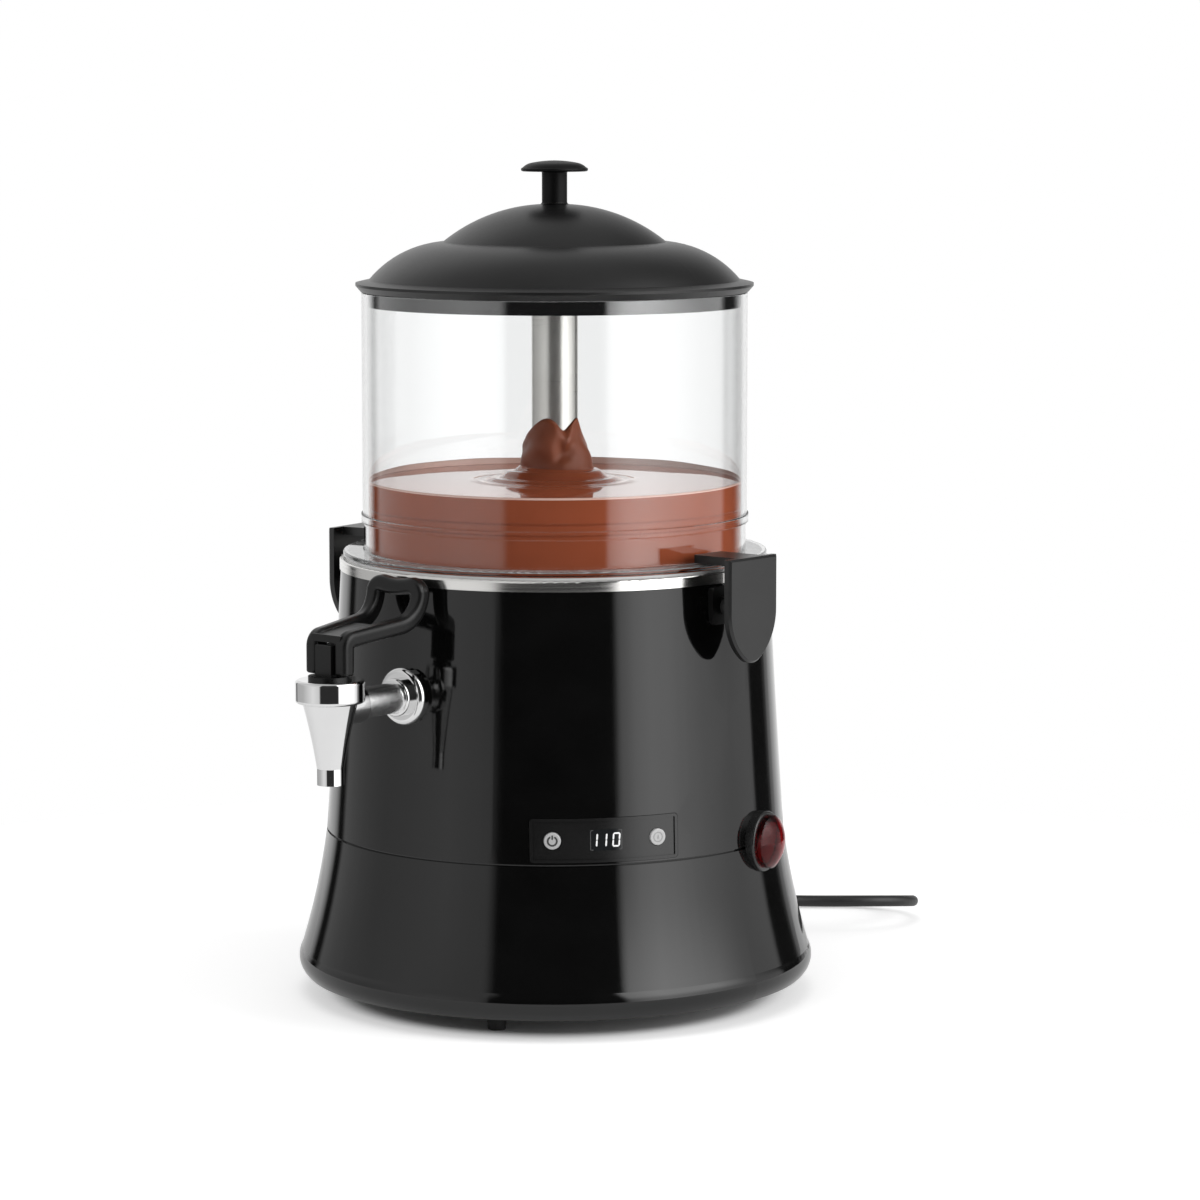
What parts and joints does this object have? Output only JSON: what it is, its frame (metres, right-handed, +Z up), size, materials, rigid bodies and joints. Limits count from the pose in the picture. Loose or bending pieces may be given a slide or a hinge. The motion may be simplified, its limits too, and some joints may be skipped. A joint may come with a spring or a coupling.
{
  "type": "hot chocolate dispenser",
  "caption": "Countertop heated drink dispenser: tapered base with tap and control panel, clear bowl held by clips, domed lid, central mixing column and mains lead.",
  "frame": {"origin": "on the bowl's upright axis, at the level of the counter under the rubber feet", "axes": "+Z up along the bowl's axis; the tap points along -Y; +X is to the right of the tap as seen from the front"},
  "size_m": [0.3567, 0.5104, 0.451],
  "materials": {
    "housing_black": "gloss",
    "base_grey": "matte",
    "lid_black": "satin",
    "clip_black": "satin",
    "lever_black": "satin",
    "bowl_clear": "clear",
    "boot_clear": "clear",
    "pan_steel": "polished",
    "column_steel": "brushed",
    "tap_chrome": "polished",
    "seal_silicone": "satin",
    "foot_rubber": "matte",
    "cup_silicone": "satin",
    "spring_steel": "satin",
    "heater_steel": "dull",
    "motor_metal": "satin",
    "gearbox_metal": "cast",
    "paddle_plastic": "satin",
    "cap_black": "satin",
    "panel_black": "satin",
    "display_dark": "gloss",
    "button_grey": "satin",
    "board_green": "matte",
    "bezel_black": "satin",
    "rocker_red": "gloss",
    "terminal_white": "matte",
    "screw_steel": "satin",
    "cord_black": "satin",
    "pin_steel": "satin"
  },
  "bodies": {
    "base": {"upper_housing": "housing_black", "base_skirt": "housing_black", "base_plate": "base_grey", "rubber_feet": "foot_rubber", "base_screws": "screw_steel", "food_pan": "pan_steel", "boiler": "pan_steel", "heating_element": "heater_steel", "thermostat": "heater_steel", "standpipe": "column_steel", "shaft_bushes": "paddle_plastic", "motor_bracket": "pan_steel", "gearbox": "gearbox_metal", "drive_motor": "motor_metal", "motor_screws": "screw_steel", "bowl_seal": "seal_silicone", "bowl": "bowl_clear", "tap_body": "tap_chrome", "tap_shank": "tap_chrome", "tap_escutcheon": "tap_chrome", "tap_washer": "cup_silicone", "tap_nut": "tap_chrome", "tap_bonnet": "lever_black", "tap_spring": "spring_steel", "clip_bracket_left": "clip_black", "clip_bracket_right": "clip_black", "clip_pin_left": "pin_steel", "clip_pin_right": "pin_steel", "control_panel": "panel_black", "display_window": "display_dark", "control_board": "board_green", "switch_bezel": "bezel_black", "switch_boot": "boot_clear", "terminal_block": "terminal_white", "cord_gland": "cord_black", "power_cord": "cord_black", "cord_coil": "cord_black", "cord_tie": "cord_black", "power_plug": "cord_black"},
    "mixer": {"drive_shaft": "column_steel", "mixer_column": "column_steel", "mixer_cap": "cap_black", "mixer_paddle": "paddle_plastic"},
    "lid": {"lid": "lid_black", "lid_knob": "lid_black", "knob_screw": "screw_steel"},
    "tap_valve": {"tap_stem": "column_steel", "tap_seat_cup": "cup_silicone", "lever_pin": "pin_steel"},
    "tap_handle": {"tap_lever": "lever_black"},
    "clip_left": {"bowl_clip_left": "clip_black"},
    "clip_right": {"bowl_clip_right": "clip_black"},
    "left_button": {"button_left": "button_grey"},
    "right_button": {"button_right": "button_grey"},
    "rocker": {"switch_rocker": "rocker_red"}
  },
  "joints": [
    {"name": "mixer_turn", "type": "hinge", "parent": "base", "child": "mixer", "pos_m": [0, 0, 0.24], "axis": [0, 0, 1], "continuous": true},
    {"name": "lid_lift", "type": "slide", "parent": "base", "child": "lid", "axis": [0, 0, 1], "range_m": [0, 0.12]},
    {"name": "tap_valve_lift", "type": "slide", "parent": "base", "child": "tap_valve", "axis": [0, 0, 1], "range_m": [0, 0.0026], "stiffness_N_per_m": 800, "springref_m": -0.005, "deforming": ["tap_spring"]},
    {"name": "tap_lever_pull", "type": "hinge", "parent": "tap_valve", "child": "tap_handle", "pos_m": [0, -0.1765, 0.198], "axis": [1, 0, 0], "range_deg": [0, 56]},
    {"name": "clip_right_release", "type": "hinge", "parent": "base", "child": "clip_right", "pos_m": [0.126, 0, 0.221], "axis": [0, 1, 0], "range_deg": [0, 24], "stiffness_Nm_per_rad": 0.15, "springref_deg": -11.46},
    {"name": "clip_left_release", "type": "hinge", "parent": "base", "child": "clip_left", "pos_m": [-0.12477, -0.01754, 0.221], "axis": [0.1392, -0.9903, 0], "range_deg": [0, 24], "stiffness_Nm_per_rad": 0.15, "springref_deg": -11.46},
    {"name": "button_left_press", "type": "slide", "parent": "base", "child": "left_button", "axis": [-0.6428, 0.766, 0], "range_m": [0, 0.001], "stiffness_N_per_m": 300, "springref_m": -0.001},
    {"name": "button_right_press", "type": "slide", "parent": "base", "child": "right_button", "axis": [-0.915, 0.4035, 0], "range_m": [0, 0.001], "stiffness_N_per_m": 300, "springref_m": -0.001},
    {"name": "rocker_tilt", "type": "hinge", "parent": "base", "child": "rocker", "pos_m": [0.12266, 0.02607, 0.092], "axis": [0.2079, -0.9781, 0], "range_deg": [0, 16]}
  ],
  "couplings": [
    {"joint": "tap_lever_pull", "follows": "tap_valve_lift", "rad_per_m": 369.2}
  ]
}
